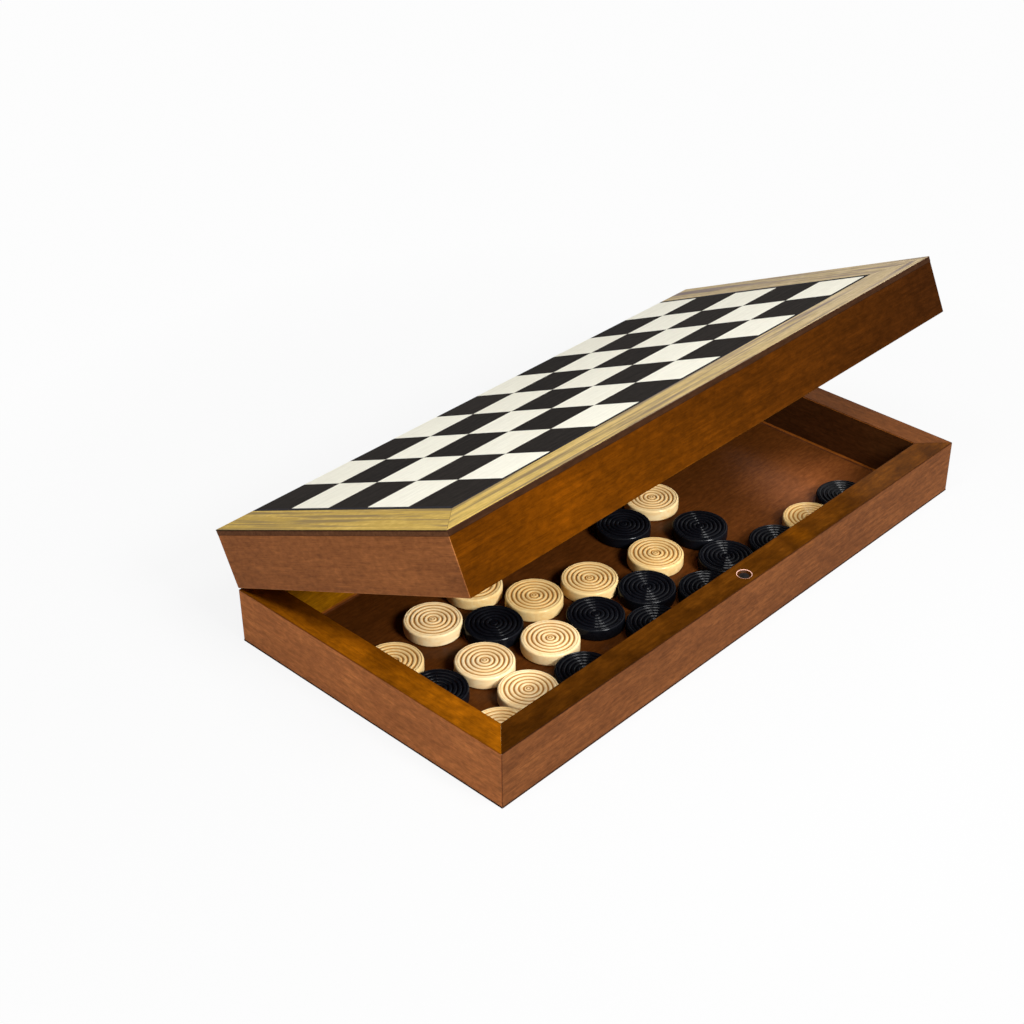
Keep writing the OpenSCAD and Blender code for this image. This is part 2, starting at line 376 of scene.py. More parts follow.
class Graph:
    """The nodes of a material or a world, made in the order in which they are linked."""

    def __init__(self, owner):
        owner.use_nodes = True
        self.owner = owner
        self.tree = owner.node_tree
        self.tree.nodes.clear()

    def node(self, kind, inputs=None, **settings):
        made = self.tree.nodes.new("ShaderNode" + kind)
        for key, value in settings.items():
            setattr(made, key, value)
        for key, value in (inputs or {}).items():
            self.feed(made.inputs[key], value)
        return made

    def feed(self, socket, value):
        if isinstance(value, bpy.types.NodeSocket):
            self.tree.links.new(value, socket)
        else:
            socket.default_value = value

    def attribute(self, name, output="Fac"):
        return self.node("Attribute", attribute_name=name).outputs[output]

    def place(self):
        """Where a point lies in its piece's own frame."""
        return self.node("TexCoord").outputs["Object"]

    def axes(self, vector):
        return self.node("SeparateXYZ", {0: vector}).outputs

    def vector_math(self, operation, *vectors):
        return self.node("VectorMath", dict(enumerate(vectors)), operation=operation).outputs

    def noise(self, vector, scale, detail, roughness, distortion=0.0):
        """Noise over a vector that is first stretched by three scales per metre."""
        return self.node(
            "TexNoise",
            {
                "Vector": self.vector_math("MULTIPLY", vector, scale)[0],
                "Scale": 1.0,
                "Detail": detail,
                "Roughness": roughness,
                "Distortion": distortion,
            },
        ).outputs["Fac"]

    def noises(self, recipes):
        """One noise over the grain for each recipe, by its name."""
        grain = self.attribute("grain", "Vector")
        return {name: self.noise(grain, *recipe) for name, recipe in recipes.items()}

    def math(self, operation, a, b):
        return self.node("Math", {0: a, 1: b}, operation=operation).outputs[0]

    def product(self, first, *others):
        for other in others:
            first = self.math("MULTIPLY", first, other)
        return first

    def spread(self, value, source, target=(0.0, 1.0)):
        """Maps one range onto another and stops at its ends."""
        return self.node(
            "MapRange",
            {
                "Value": value,
                "From Min": source[0],
                "From Max": source[1],
                "To Min": target[0],
                "To Max": target[1],
            },
        ).outputs[0]

    def mix(self, factor, a, b, blend="MIX"):
        made = self.node("Mix", data_type="RGBA", blend_type=blend)
        self.feed(made.inputs[MIX_FACTOR], factor)
        for index, value in ((MIX_A, a), (MIX_B, b)):
            plain = isinstance(value, tuple)
            self.feed(made.inputs[index], (*value, 1.0) if plain else value)
        return made.outputs[MIX_RESULT]

    def times(self, a, b):
        """One colour times another."""
        return self.mix(1.0, a, b, "MULTIPLY")

    def tinted(self, share, tone, factor):
        """A tone that is multiplied by a colour in some share."""
        return self.mix(share, tone, self.times(tone, factor))

    def grey(self, value):
        return self.node("CombineColor", {0: value, 1: value, 2: value}).outputs[0]

    def bump(self, height, strength, distance):
        return self.node(
            "Bump", {"Height": height, "Strength": strength, "Distance": distance}
        ).outputs[0]

    def surface(self, **inputs):
        shader = self.node(
            "BsdfPrincipled", {k.replace("_", " "): v for k, v in inputs.items()}
        )
        self.node("OutputMaterial", {"Surface": shader.outputs[0]})
        return self.owner

    def lacquered(self, tone, roughness, coat, coat_rough, normal):
        """A dull ground, with all of its gloss in the coat of lacquer."""
        return self.surface(
            Base_Color=tone,
            Roughness=roughness,
            Specular_IOR_Level=0.0,
            Coat_Weight=coat,
            Coat_Roughness=coat_rough,
            Normal=normal,
        )


def material_graph(name):
    return Graph(bpy.data.materials.new(name))


# ---- wood ----

# Each noise: scales per metre along, across and into the grain, detail, roughness, distortion.
WOOD_NOISE = {
    "broad": ((9, 30, 30), 2.0, 0.5, 0.6),
    "streaks": ((16, 420, 420), 3.0, 0.6, 0.35),
    "fibres": ((90, 2600, 2600), 2.0, 0.6),
    "pores": ((240, 3800, 3800), 1.0, 0.5),
    "cloud": ((55, 75, 75), 2.0, 0.5, 0.4),
    "mottle": ((230, 520, 520), 2.0, 0.6, 0.3),
}
# How far from the middle of their noise the figure and the streaks reach their full tones.
FIGURE_REACH = 0.16
STREAK_BELOW = 0.12
STREAK_ABOVE = 0.14
CLOUD_RANGE = (0.36, 0.68)
FIBRE_SHADE = (0.84, 1.13)
MOTTLE_RANGE = (0.32, 0.68)
MOTTLE_SHADE = (0.80, 1.18)
# The figure is livelier where golden light is painted, up to half a share of it.
LIVELY_GOLDEN_LIGHT = 0.5
LIVELY_RANGE = (0.35, 0.65)
LIVELY_SHADE = (-0.4, 0.4)
PORE_RANGE = (0.66, 0.74)
PORE_TONE = 0.35
# Painted light and shade: the tone drifts to another one at the right end, more so in front. A
# painted pool of light is even in its inner share.
PAINTED_DRIFT_X = (-0.08, 0.17)
PAINTED_DRIFT_Y = (0.025, -0.035)
LIGHT_PATCH_EVEN = 0.2
EDGE_WEAR_AND_LIGHT_RANGE = (0.3, 0.6)
EDGE_WEAR_AND_LIGHT_SHARE = (0.3, 1.0)
WOOD_RELIEF = 0.6
WOOD_BUMP = (0.18, 0.0002)
# Painted golden light: the tone of a fully golden face, and the olive it turns to past a share of
# 1.
GOLDEN_LIGHT_TONE = (0.30, 0.0885, 0.002)
OLIVE = (0.95, 1.32, 1.0)
# Painted highlight and shade on eased edges, together with real wear and gathered staining.
EDGE_WEAR_AND_HIGHLIGHT = (1.35, 1.5, 1.6)
EDGE_STAIN_AND_SHADE = (0.50, 0.46, 0.55)
BARE_WOOD = (0.62, 0.36, 0.28)


def figured(g, noise, tones, figure, streaky):
    """Wood before its stain: a broad figure, and streaks that cross its lighter clouds."""
    dark, mid, light = tones
    reach = FIGURE_REACH / figure
    broad = g.spread(noise["broad"], (MIDDLE - reach, MIDDLE + reach))
    low = g.mix(broad, dark, mid)
    high = g.mix(g.spread(noise["cloud"], CLOUD_RANGE), low, light)
    ends = (MIDDLE - STREAK_BELOW / streaky, MIDDLE + STREAK_ABOVE / streaky)
    return g.mix(g.spread(noise["streaks"], ends), low, high)


def wood_shade(g, noise, gold):
    """Light and shade of fibres, mottle and clouds, times the depth of staining with the painted
    shade and light of each face.
    """
    warm = g.math("MINIMUM", gold, LIVELY_GOLDEN_LIGHT)
    lively = g.product(warm, g.spread(noise["cloud"], LIVELY_RANGE, LIVELY_SHADE))
    return g.product(
        g.spread(noise["fibres"], MOST, FIBRE_SHADE),
        g.spread(noise["mottle"], MOTTLE_RANGE, MOTTLE_SHADE),
        g.math("ADD", lively, 1.0),
        g.attribute("stain"),
    )


def drifted(g, tone, far):
    """Painted light and shade: the tone's drift to another one at the right end."""
    axes = g.axes(g.place())
    share = g.product(g.spread(axes[0], PAINTED_DRIFT_X), g.spread(axes[1], PAINTED_DRIFT_Y))
    return g.tinted(share, tone, far)


def patched(g, tone, patch):
    """A painted pool of light: a round patch of another tone, given as middle, reach and factor.
    """
    middle, reach, factor = patch
    away = g.vector_math("DISTANCE", g.place(), middle)["Value"]
    return g.tinted(g.spread(away, (reach, reach * LIGHT_PATCH_EVEN)), tone, factor)


def edged(g, tone, cloud):
    """The eased edges: lighter where the finish has worn thin and as a painted highlight, darker
    where staining gathered and as painted shade.
    """
    edge_wear_and_light = g.product(g.attribute("edge"), g.spread(cloud, EDGE_WEAR_AND_LIGHT_RANGE, EDGE_WEAR_AND_LIGHT_SHARE))
    tone = g.tinted(g.math("MAXIMUM", edge_wear_and_light, 0.0), tone, EDGE_WEAR_AND_HIGHLIGHT)
    return g.tinted(g.product(g.math("MINIMUM", edge_wear_and_light, 0.0), -1.0), tone, EDGE_STAIN_AND_SHADE)


def wood(
    name, dark, mid, light, rough=(0.34, 0.48), coat=0.12, coat_rough=0.22, figure=1.0,
    streaky=1.0, fleck=0.3, far=None, patch=None
):
    """Stained wood: broad figure, growth streaks, mottle, fibres and short dark pores, with
    painted light and shade from its attributes, drift and patch.
    """
    g = material_graph(name)
    noise = g.noises(WOOD_NOISE)
    gold = g.attribute("gold")
    tone = figured(g, noise, (dark, mid, light), figure, streaky)
    # Painted light: faces with a share of painted golden light turn golden, and past a share of 1
    # olive.
    tone = g.tinted(gold, tone, tuple(to / base for to, base in zip(GOLDEN_LIGHT_TONE, mid)))
    tone = g.tinted(g.math("SUBTRACT", gold, 1.0), tone, OLIVE)
    # Painted shade and light: the shade takes in the stain attribute, set per face.
    tone = g.times(tone, g.grey(wood_shade(g, noise, gold)))
    speck = g.spread(noise["pores"], PORE_RANGE, (0.0, fleck))
    tone = g.mix(speck, tone, tuple(c * PORE_TONE for c in dark))
    # Painted light and shade: the drift at the right end and the round pool of light.
    if far:
        tone = drifted(g, tone, far)
    if patch:
        tone = patched(g, tone, patch)
    tone = edged(g, tone, noise["cloud"])
    tone = g.mix(g.attribute("bare"), tone, BARE_WOOD)
    roughness = g.spread(noise["streaks"], MOST, rough)
    height = g.math("SUBTRACT", g.product(noise["fibres"], WOOD_RELIEF), speck)
    return g.lacquered(tone, roughness, coat, coat_rough, g.bump(height, *WOOD_BUMP))


# Its patch is a painted pool of light on the tray's front rim.
RED_BROWN = wood(
    "red_brown_wood", (0.212, 0.068, 0.018), (0.275, 0.091, 0.025), (0.345, 0.117, 0.032),
    patch=((0.046, -0.0812, HALF_H), 0.0095, (1.75, 1.7, 0.8))
)
# Painted light: the lid's front rail in a golden copy of the red-brown wood for the light it
# catches, darker towards the right end as painted shade, and with a painted pool of light near
# its left end.
GOLDEN_BROWN = wood(
    "golden_brown_wood",
    (0.071, 0.0190, 0.0007), (0.090, 0.024, 0.0008), (0.124, 0.0325, 0.001),
    coat=0.015, figure=1.1, streaky=0.9, far=(0.36, 0.38, 2.0),
    patch=((-0.121, -0.0887, 0.040), 0.036, (1.42, 1.40, 1.0))
)
# Painted light: the tray's floor is lighter towards the right end and in front, with a painted
# pool of light and reflection near the right end.
PANEL_WOOD = wood(
    "panel_wood", (0.062, 0.0175, 0.0028), (0.076, 0.0215, 0.0034), (0.092, 0.0265, 0.0044),
    rough=(0.22, 0.32), coat=0.24, coat_rough=0.27, streaky=0.5, fleck=0.15,
    far=(1.66, 1.72, 2.3), patch=((0.123, -0.026, PANEL), 0.038, (2.1, 2.2, 2.9))
)
LID_PANEL_WOOD = wood(
    "lid_panel_wood", (0.085, 0.032, 0.013), (0.105, 0.042, 0.018), (0.120, 0.048, 0.020),
    coat=0.05
)


def even(depth, gold=0.0):
    """A line of STAINS_AND_SHADE that is the same all over."""
    return (depth, depth, depth, gold, gold)


# Depth of staining at the box's left end, its right end and its outside, and share of painted
# golden light at the left and the right end; from 1 to 2 the golden light turns olive. Most
# lines paint light and shade: inner faces darker as painted shade, the back wall's inner face
# golden at its left end as a painted pool of light, the fillet at the foot lighter and golden as
# a painted highlight, rims golden as painted light and darker as painted shade, and each outer
# side lighter or darker by how it faces the light. A side with painted light of its own has a
# line of its own.
STAINS_AND_SHADE = {
    ("tray", "outer"): even(0.95),
    ("tray", "rim"): (0.70, 0.70, 0.60, 0.0, 0.0),
    ("tray", "inner"): even(0.45, 0.2),
    ("tray", "foot"): even(1.5, 0.6),
    ("lid", "outer"): even(0.98),
    ("lid", "rim"): even(0.7),
    ("lid", "inner"): even(0.7),
    ("lid", "foot"): even(0.7),
    ("lid", "left", "outer"): even(1.22),
    ("lid", "right", "outer"): even(1.22),
    ("lid", "front", "outer"): even(0.76),
    ("tray", "front", "outer"): (0.45, 0.47, 0.45, 0.0, 0.0),
    ("tray", "front", "rim"): (0.21, 0.35, 0.12, 0.8, 0.8),
    ("tray", "left", "rim"): even(0.64, 1.0),
    ("tray", "left", "outer"): even(1.54),
    ("tray", "right", "outer"): even(1.20),
    ("tray", "back", "inner"): (1.45, 0.30, 1.45, 2.0, 0.4),
    ("tray", "right", "inner"): even(0.28),
    ("tray", "right", "rim"): even(0.48),
}
# Depth of staining of a panel's edge in front, darkened further as painted shade, and of the lid
# panel's at the ends, lightened as painted light.
FRONT_EDGE_STAIN_AND_SHADE = 0.27
LID_END_PAINTED_LIGHT = 1.45


# ---- veneer ----

VENEER_NOISE = {
    "fibres": ((70, 2200, 2200), 3.0, 0.6),
    "streaks": ((18, 520, 520), 3.0, 0.6, 0.3),
    "mottle": ((260, 420, 420), 2.0, 0.6),
}
BAND_NOISE = {"bands": ((11, 230, 230), 3.0, 0.65, 0.5)}
# How much of the tone comes from the streaks, the mottle and the piece's own number.
STREAK_SHARE = 0.6
MOTTLE_SHARE = 0.4
OWN_SHARE = 0.1
VENEER_RANGE = (0.36, 0.66)
BAND_RANGE = (0.48, 0.60)
BAND_SHARE = (0.0, 0.85)
VENEER_SHADE = (0.93, 1.05)
VENEER_DRIFT_X = (-0.16, 0.12)
VENEER_COAT = (0.05, 0.18)
VENEER_BUMP = (0.10, 0.0001)
VENEER_EDGE = (0.035, 0.015, 0.008)


def veneer(name, dark, light, rough=(0.40, 0.50), far=None, streak=None):
    """Thin veneer under lacquer, each piece with a tone of its own and a stained edge."""
    g = material_graph(name)
    noise = g.noises(VENEER_NOISE)
    mixed = g.math(
        "ADD", g.product(noise["streaks"], STREAK_SHARE), g.product(noise["mottle"], MOTTLE_SHARE)
    )
    mixed = g.math("ADD", mixed, g.product(g.attribute("tone"), OWN_SHARE))
    tone = g.mix(g.spread(mixed, VENEER_RANGE), dark, light)
    if streak:
        bands = g.noises(BAND_NOISE)["bands"]
        tone = g.mix(g.spread(bands, BAND_RANGE, BAND_SHARE), tone, streak)
    tone = g.times(tone, g.grey(g.spread(noise["fibres"], MOST, VENEER_SHADE)))
    if far:
        tone = g.tinted(g.spread(g.axes(g.place())[0], VENEER_DRIFT_X), tone, far)
    tone = g.mix(g.attribute("side"), tone, VENEER_EDGE)
    roughness = g.spread(noise["mottle"], MOST, rough)
    return g.lacquered(tone, roughness, *VENEER_COAT, g.bump(noise["fibres"], *VENEER_BUMP))


DARK_VENEER = veneer("dark_veneer", (0.0100, 0.0076, 0.0060), (0.0200, 0.0155, 0.0125))
LIGHT_VENEER = veneer("light_veneer", (0.87, 0.835, 0.705), (0.94, 0.91, 0.78))
STRING_VENEER = veneer("stringing", (0.012, 0.012, 0.014), (0.024, 0.023, 0.026))
BORDER_VENEER = veneer(
    "border_veneer", (0.49, 0.325, 0.075), (0.74, 0.51, 0.14), (0.40, 0.52),
    far=(0.86, 0.98, 2.2), streak=(0.25, 0.175, 0.080)
)


# ---- turned wood and metal ----

TURNED_NOISE = {
    "streaks": ((30, 520, 520), 3.0, 0.6, 0.4),
    "fibres": ((160, 3000, 3000), 2.0, 0.6),
    "broad": ((45, 70, 70), 2.0, 0.5),
}
TURNED_STREAKS = (0.34, 0.66)
TURNED_BROAD = (0.3, 0.75)
BROAD_SHARE = (0.0, 0.45)
GROOVE_RANGE = (0.05, 0.65)
FIBRE_RELIEF = 0.7
STREAK_RELIEF = 0.3
TURNED_BUMP_DEPTH = 0.0001
# The tint of a golden light draught: partly its own tone, partly painted shade.
GOLDEN_WOOD = (0.83, 0.76, 0.58)


def turned_wood(name, dark, light, groove, rough, coat, coat_rough, bump):
    """Turned wood: a streaky grain, and a deeper tone in the grooves that is partly gathered
    lacquer and partly painted shade.
    """
    g = material_graph(name)
    noise = g.noises(TURNED_NOISE)
    tone = g.mix(g.spread(noise["streaks"], TURNED_STREAKS), dark, light)
    tone = g.mix(g.spread(noise["broad"], TURNED_BROAD, BROAD_SHARE), tone, dark)
    tone = g.tinted(g.attribute("golden"), tone, GOLDEN_WOOD)
    # Partly painted shade: the grooves take a deeper tone.
    tone = g.mix(g.spread(g.attribute("groove"), GROOVE_RANGE), tone, groove)
    roughness = g.spread(noise["fibres"], MOST, rough)
    height = g.math(
        "ADD",
        g.product(noise["fibres"], FIBRE_RELIEF),
        g.product(noise["streaks"], STREAK_RELIEF),
    )
    normal = g.bump(height, bump, TURNED_BUMP_DEPTH)
    return g.lacquered(tone, roughness, coat, coat_rough, normal)


LIGHT_DRAUGHT = turned_wood(
    "light_draught_wood", (0.95, 0.67, 0.33), (1.0, 0.82, 0.50), (0.44, 0.20, 0.040),
    rough=(0.36, 0.48), coat=0.30, coat_rough=0.14, bump=0.12
)
DARK_DRAUGHT = turned_wood(
    "dark_draught_wood", (0.0030, 0.0034, 0.0050), (0.0065, 0.0070, 0.0095),
    (0.0015, 0.0015, 0.0025), rough=(0.30, 0.40), coat=0.30, coat_rough=0.16, bump=0.08
)

METAL_DETAIL = (3.0, 0.6)
TARNISH_RANGE = (0.35, 0.65)
# Streaks are this much shorter along X, and spots of tarnish this much larger.
BRUSH_SHORTER = 8
TARNISH_LARGER = 4
METAL_BUMP = (0.1, 0.00005)


def metal(name, dark, light, rough, scale):
    """Metal with rolled streaks and a little tarnish."""
    g = material_graph(name)
    place = g.place()
    brushed = g.noise(place, (scale * BRUSH_SHORTER, scale, scale), *METAL_DETAIL)
    tarnish = g.noise(place, (scale / TARNISH_LARGER,) * 3, *METAL_DETAIL)
    return g.surface(
        Base_Color=g.mix(g.spread(tarnish, TARNISH_RANGE), dark, light),
        Metallic=1.0,
        Roughness=g.spread(brushed, MOST, rough),
        Normal=g.bump(brushed, *METAL_BUMP),
    )


BRASS = metal("brass", (0.50, 0.33, 0.12), (0.70, 0.50, 0.22), (0.26, 0.40), 900)
MAGNET = metal("magnet", (0.10, 0.095, 0.095), (0.20, 0.19, 0.19), (0.30, 0.45), 700)


# ---- rails and panels ----

def mark_bare(mesh):
    """Marks the fine lip of a magnet's mouth as bare wood."""
    values = []
    for face in mesh.polygons:
        away = math.hypot(face.center.x, face.center.y - MAGNET_Y)
        in_lip = MAGNET_LIP_R * LIP_FROM < away < MAGNET_MOUTH_R
        slanted = SLANTED[0] < abs(face.normal.z) < SLANTED[1]
        values.append(1.0 if in_lip and slanted else 0.0)
    set_numbers(mesh, "bare", values)


def hinge_cutters(rim_z, up):
    """What two hinges take out of a back rail whose rim is at rim_z; up is 1 for the tray."""
    cutters = []
    low, high = sorted((rim_z - up * LEAF_T, rim_z + up * LEAF_T))
    for side in (-1, 1):
        x = side * HINGE_X
        plate = bmesh.new()
        add_box(
            plate,
            (x - HINGE_L / 2, AXIS_Y - LEAF_W, low),
            (x + HINGE_L / 2, AXIS_Y + LEAF_W, high),
        )
        knuckle = cone_cutter(
            (x, AXIS_Y, AXIS_Z),
            KNUCKLE_CLEAR_R,
            KNUCKLE_CLEAR_R,
            -KNUCKLE_CLEAR_L / 2,
            KNUCKLE_CLEAR_L / 2,
            lying=True,
        )
        cutters += [plate, knuckle]
    return cutters


def magnet_cutters(rim_z, up):
    """The fine lip, the bevelled mouth and the seat of a magnet in a front rail."""
    centre = (0, MAGNET_Y, 0)
    rise = up * MAGNET_LIP_DEPTH
    wider = MAGNET_MOUTH_R * 2 - MAGNET_LIP_R
    edge = rim_z + up * MAGNET_DEPTH * OVERSHOOT
    floor = rim_z - up * MAGNET_DEPTH
    flared = MAGNET_LIP_R + (MAGNET_LIP_R - MAGNET_R) * OVERSHOOT
    deep = rim_z - up * MAGNET_SEAT
    low, high = sorted((deep, floor + up * MAGNET_DEPTH * OVERLAP))
    return [
        cone_cutter(centre, MAGNET_LIP_R, wider, rim_z - rise, rim_z + rise),
        cone_cutter(centre, MAGNET_R, flared, floor, edge),
        cone_cutter(centre, MAGNET_R, MAGNET_R, low, high),
    ]


def make_rails(half, section, ease_at, rim_z, up, finishes, place):
    """The four mitred rails of one half, with what its hardware takes out of them."""
    ring = ring_mesh(section, ease_at)
    for number, (side, way) in enumerate(SIDES.items()):
        node = "%s_%s_rail" % (half, side)
        mesh = to_mesh(cut_rail(ring, way), node)
        material, slot = finishes[side]
        obj = link(node + "_eased", mesh, half, material, place)
        if side == "front":
            carve(obj, magnet_cutters(rim_z, up))
            mark_bare(obj.data)
        if side == "back":
            carve(obj, hinge_cutters(rim_z, up))
        set_grain(obj.data, way[0] != 0, half + str(number))
        set_edges(obj.data, -1.0 if half == "tray" else 1.0)
        set_stain(obj.data, half, side)
        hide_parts(node)
    ring.free()


def panel_stain(half, normal):
    """How deep a panel's face has taken its staining, with painted shade on its front edge and
    painted light on the lid panel's ends.
    """
    if normal.y < -MOSTLY:
        return FRONT_EDGE_STAIN_AND_SHADE
    if half == "lid" and abs(normal.x) > MOSTLY:
        return LID_END_PAINTED_LIGHT
    return 1.0


def make_panel(half, plates, material, place):
    """The panel under a half board, made of plates given as (inset, low, high)."""
    node = half + "_panel"
    bm = bmesh.new()
    for inset, low, high in plates:
        x = BOX_L / 2 - inset
        y = HALF_W / 2 - inset
        add_box(bm, (-x, -y, low), (x, y, high), PANEL_EASE)
    obj = link(node + "_eased", to_mesh(bm, node), half, material, place)
    set_grain(obj.data, False, half + "panel")
    set_edges(obj.data, -1.0)
    stain = [panel_stain(half, face.normal) for face in obj.data.polygons]
    set_numbers(obj.data, "stain", stain)
    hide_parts(node)


RED = (RED_BROWN, "red_brown_wood")
GOLD = (GOLDEN_BROWN, "golden_brown_wood")
TRAY_FINISHES = {"front": RED, "back": RED, "left": RED, "right": RED}
LID_FINISHES = {"front": GOLD, "back": RED, "left": RED, "right": RED}
# The rails' sections, as points (inset, z), and which of them have their edges eased.
TRAY_SECTION = [
    (0, LIP), (0, HALF_H), (RAIL, HALF_H), (RAIL, PANEL + FOOT),
    (RAIL + FOOT * FOOT_MIDDLE, PANEL + FOOT * FOOT_MIDDLE), (RAIL + FOOT, PANEL),
    (REBATE_INSET, PANEL), (REBATE_INSET, LIP)
]
TRAY_EASED = (1, 2)
LID_PANEL_Z = LID_TOP_Z - PANEL
LID_SECTION = [(0, LID_RIM_Z), (0, LID_PANEL_Z), (RAIL, LID_PANEL_Z), (RAIL, LID_RIM_Z)]
LID_EASED = (0, 3)
make_rails("tray", TRAY_SECTION, TRAY_EASED, HALF_H, 1, TRAY_FINISHES, SHUT)
make_rails("lid", LID_SECTION, LID_EASED, LID_RIM_Z, -1, LID_FINISHES, OPENED)
make_panel("tray", [(0, VENEER, LIP), (REBATE_INSET, LIP, PANEL)], PANEL_WOOD, SHUT)
make_panel("lid", [(0, LID_PANEL_Z, LID_TOP_Z - VENEER)], LID_PANEL_WOOD, OPENED)


# ---- boards ----

def veneer_pieces(node, half, parts, levels, finish, place):
    """Veneer pieces given as (outline, turned), each with its own tone and run of grain."""
    low, high = levels
    material, slot = finish
    bm = bmesh.new()
    tone = bm.verts.layers.float.new("tone")
    grain = bm.verts.layers.float_vector.new("grain")
    draw = random.Random(node)
    for outline, turned in parts:
        before = set(bm.verts)
        add_prism(bm, outline, low, high)
        own = draw.uniform(-1, 1)
        shift = grain_shift(draw)
        for v in bm.verts:
            if v not in before:
                v[tone] = own
                v[grain] = in_grain(v.co, turned) + shift
    bmesh.ops.recalc_face_normals(bm, faces=bm.faces)
    obj = link(node + "_laid", to_mesh(bm, node), half, material, place)
    up = 1 if half == "lid" else -1
    sides = [1.0 if face.normal.z * up < MOSTLY else 0.0 for face in obj.data.polygons]
    set_numbers(obj.data, "side", sides)
    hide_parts(node)


def square_at(x, y):
    """A square's outline, half a joint in from its lines; x and y are its lower corner's."""
    near = VENEER_JOINT / 2
    x0, x1 = x + near, x + SQUARE - near
    y0, y1 = y + near, y + SQUARE - near
    return [(x0, y0), (x1, y0), (x1, y1), (x0, y1)]


def squares_of(parity):
    """The squares of one colour in half a board."""
    parts = []
    for i in range(SQUARES):
        for j in range(ROWS):
            if (i + j) % 2 == parity:
                x = -BOX_L / 2 + BORDER + i * SQUARE
                y = HALF_W / 2 - (j + 1) * SQUARE
                parts.append((square_at(x, y), False))
    return parts


def frame_of(outer, inner):
    """Three mitred strips between two insets, open at the hinge edge."""
    lx, fy, by = BOX_L / 2, -HALF_W / 2, HALF_W / 2
    j = VENEER_JOINT
    front = [
        (-lx + j + outer, fy + outer), (lx - j - outer, fy + outer),
        (lx - j - inner, fy + inner), (-lx + j + inner, fy + inner)
    ]
    left = [
        (-lx + outer, fy + outer), (-lx + inner, fy + inner), (-lx + inner, by), (-lx + outer, by)
    ]
    right = [(-x, y) for x, y in left][::-1]
    return [(front, False), (left, True), (right, True)]


def make_board(half, dark_parity, levels, place):
    """Half a board: squares, stringing and border."""
    line = BORDER - STRINGING
    for name, parts, finish in (
        ("dark_squares", squares_of(dark_parity), (DARK_VENEER, "dark_veneer")),
        ("light_squares", squares_of(1 - dark_parity), (LIGHT_VENEER, "light_veneer")),
        ("stringing", frame_of(line, BORDER), (STRING_VENEER, "stringing")),
        ("border_veneer", frame_of(0, line), (BORDER_VENEER, "border_veneer")),
    ):
        veneer_pieces(half + "_" + name, half, parts, levels, finish, place)


make_board("tray", 1, (0, VENEER), SHUT)
make_board("lid", 0, (LID_TOP_Z - VENEER, LID_TOP_Z), OPENED)


# ---- hardware: the CAD nodes in better materials ----

for name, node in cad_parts.items():
    finish = BRASS if "hinge" in name else MAGNET if "magnet" in name else None
    if finish:
        node.data.materials.clear()
        node.data.materials.append(finish)


# ---- draughts ----

def face_line():
    """Points (radius, depth below the face, groove share) from the centre to the rim."""
    points = list(CENTRE_MARK)
    for k in range(RINGS + 1):
        for s in range(RING_STEPS):
            r = RING_PITCH * (k + s / RING_STEPS)
            if r < CENTRE_R:
                continue
            wave = 0.5 + 0.5 * math.cos(2 * math.pi * r / RING_PITCH)
            groove = wave ** GROOVE_POWER if k or s > RING_STEPS / 2 else 0.0
            depth = RING_DEPTH * groove + SHOULDER_DROP * wave * (1 - groove)
            points.append((r, depth, groove))
    return points


def half_profile():
    """Points (radius, height, groove share) of one face and its rounded edge."""
    half = DRAUGHT_T / 2
    points = [(r, half - depth, groove) for r, depth, groove in face_line()]
    for i in range(EDGE_STEPS + 1):
        a = math.pi / 2 * (1 - i / EDGE_STEPS)
        r = DRAUGHT_R - EDGE_R + EDGE_R * math.cos(a)
        points.append((r, half - EDGE_R + EDGE_R * math.sin(a), 0.0))
    return points


def turned_mesh(bm, upper):
    """The upper profile and its mirror image below, turned about the Z axis."""
    lower = [(r, -z, groove) for r, z, groove in reversed(upper)]
    groove_layer = bm.verts.layers.float.new("groove")
    rings = []
    for r, z, groove in upper[1:] + lower[:-1]:
        ring = []
        for i in range(TURNS):
            a = 2 * math.pi * i / TURNS
            v = bm.verts.new((r * math.cos(a), r * math.sin(a), z))
            v[groove_layer] = groove
            ring.append(v)
        rings.append(ring)
    for here, there in zip(rings, rings[1:]):
        for i in range(TURNS):
            j = (i + 1) % TURNS
            bm.faces.new((here[i], there[i], there[j], here[j]))
    for ring, z, flip in ((rings[0], upper[0][1], False), (rings[-1], lower[-1][1], True)):
        middle = bm.verts.new((0, 0, z))
        for i in range(TURNS):
            j = (i + 1) % TURNS
            bm.faces.new((ring[j], ring[i], middle) if flip else (ring[i], ring[j], middle))
    bmesh.ops.recalc_face_normals(bm, faces=bm.faces)
    for f in bm.faces:
        f.smooth = True


def draught_mesh(name, golden):
    """A turned draught about its own upright axis, with its grain at a fixed random angle."""
    draw = random.Random(name)
    turn = Matrix.Rotation(draw.uniform(0, 2 * math.pi), 3, "Z")
    shift = grain_shift(draw)
    bm = bmesh.new()
    turned_mesh(bm, half_profile())
    mesh = to_mesh(bm, name)
    grain = mesh.attributes.new("grain", "FLOAT_VECTOR", "POINT")
    for vertex, value in zip(mesh.vertices, grain.data):
        value.vector = turn @ vertex.co + shift
    set_numbers(mesh, "golden", [golden] * len(mesh.polygons))
    return mesh


# How golden the wood of each light draught is, in the order of their numbers: partly each
# draught's own tone, partly painted shade on those that stand further under the lid.
GOLDEN = (0.05, 0.0, 0.1, 0.1, 0.95, 0.8, 0.9, 0.8, 0.6, 0.9, 0.45, 1.0)


def make_draught(node):
    low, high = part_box(node)
    number = int(node.split("_")[-1])
    light = node.startswith("light")
    golden = GOLDEN[number - 1] if light else 0.0
    material = LIGHT_DRAUGHT if light else DARK_DRAUGHT
    place = Matrix.Translation((low + high) / 2)
    obj = link(node + "_turned", draught_mesh(node, golden), node, material, place)
    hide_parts(node)


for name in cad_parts:
    if "draught" in name:
        make_draught(name)


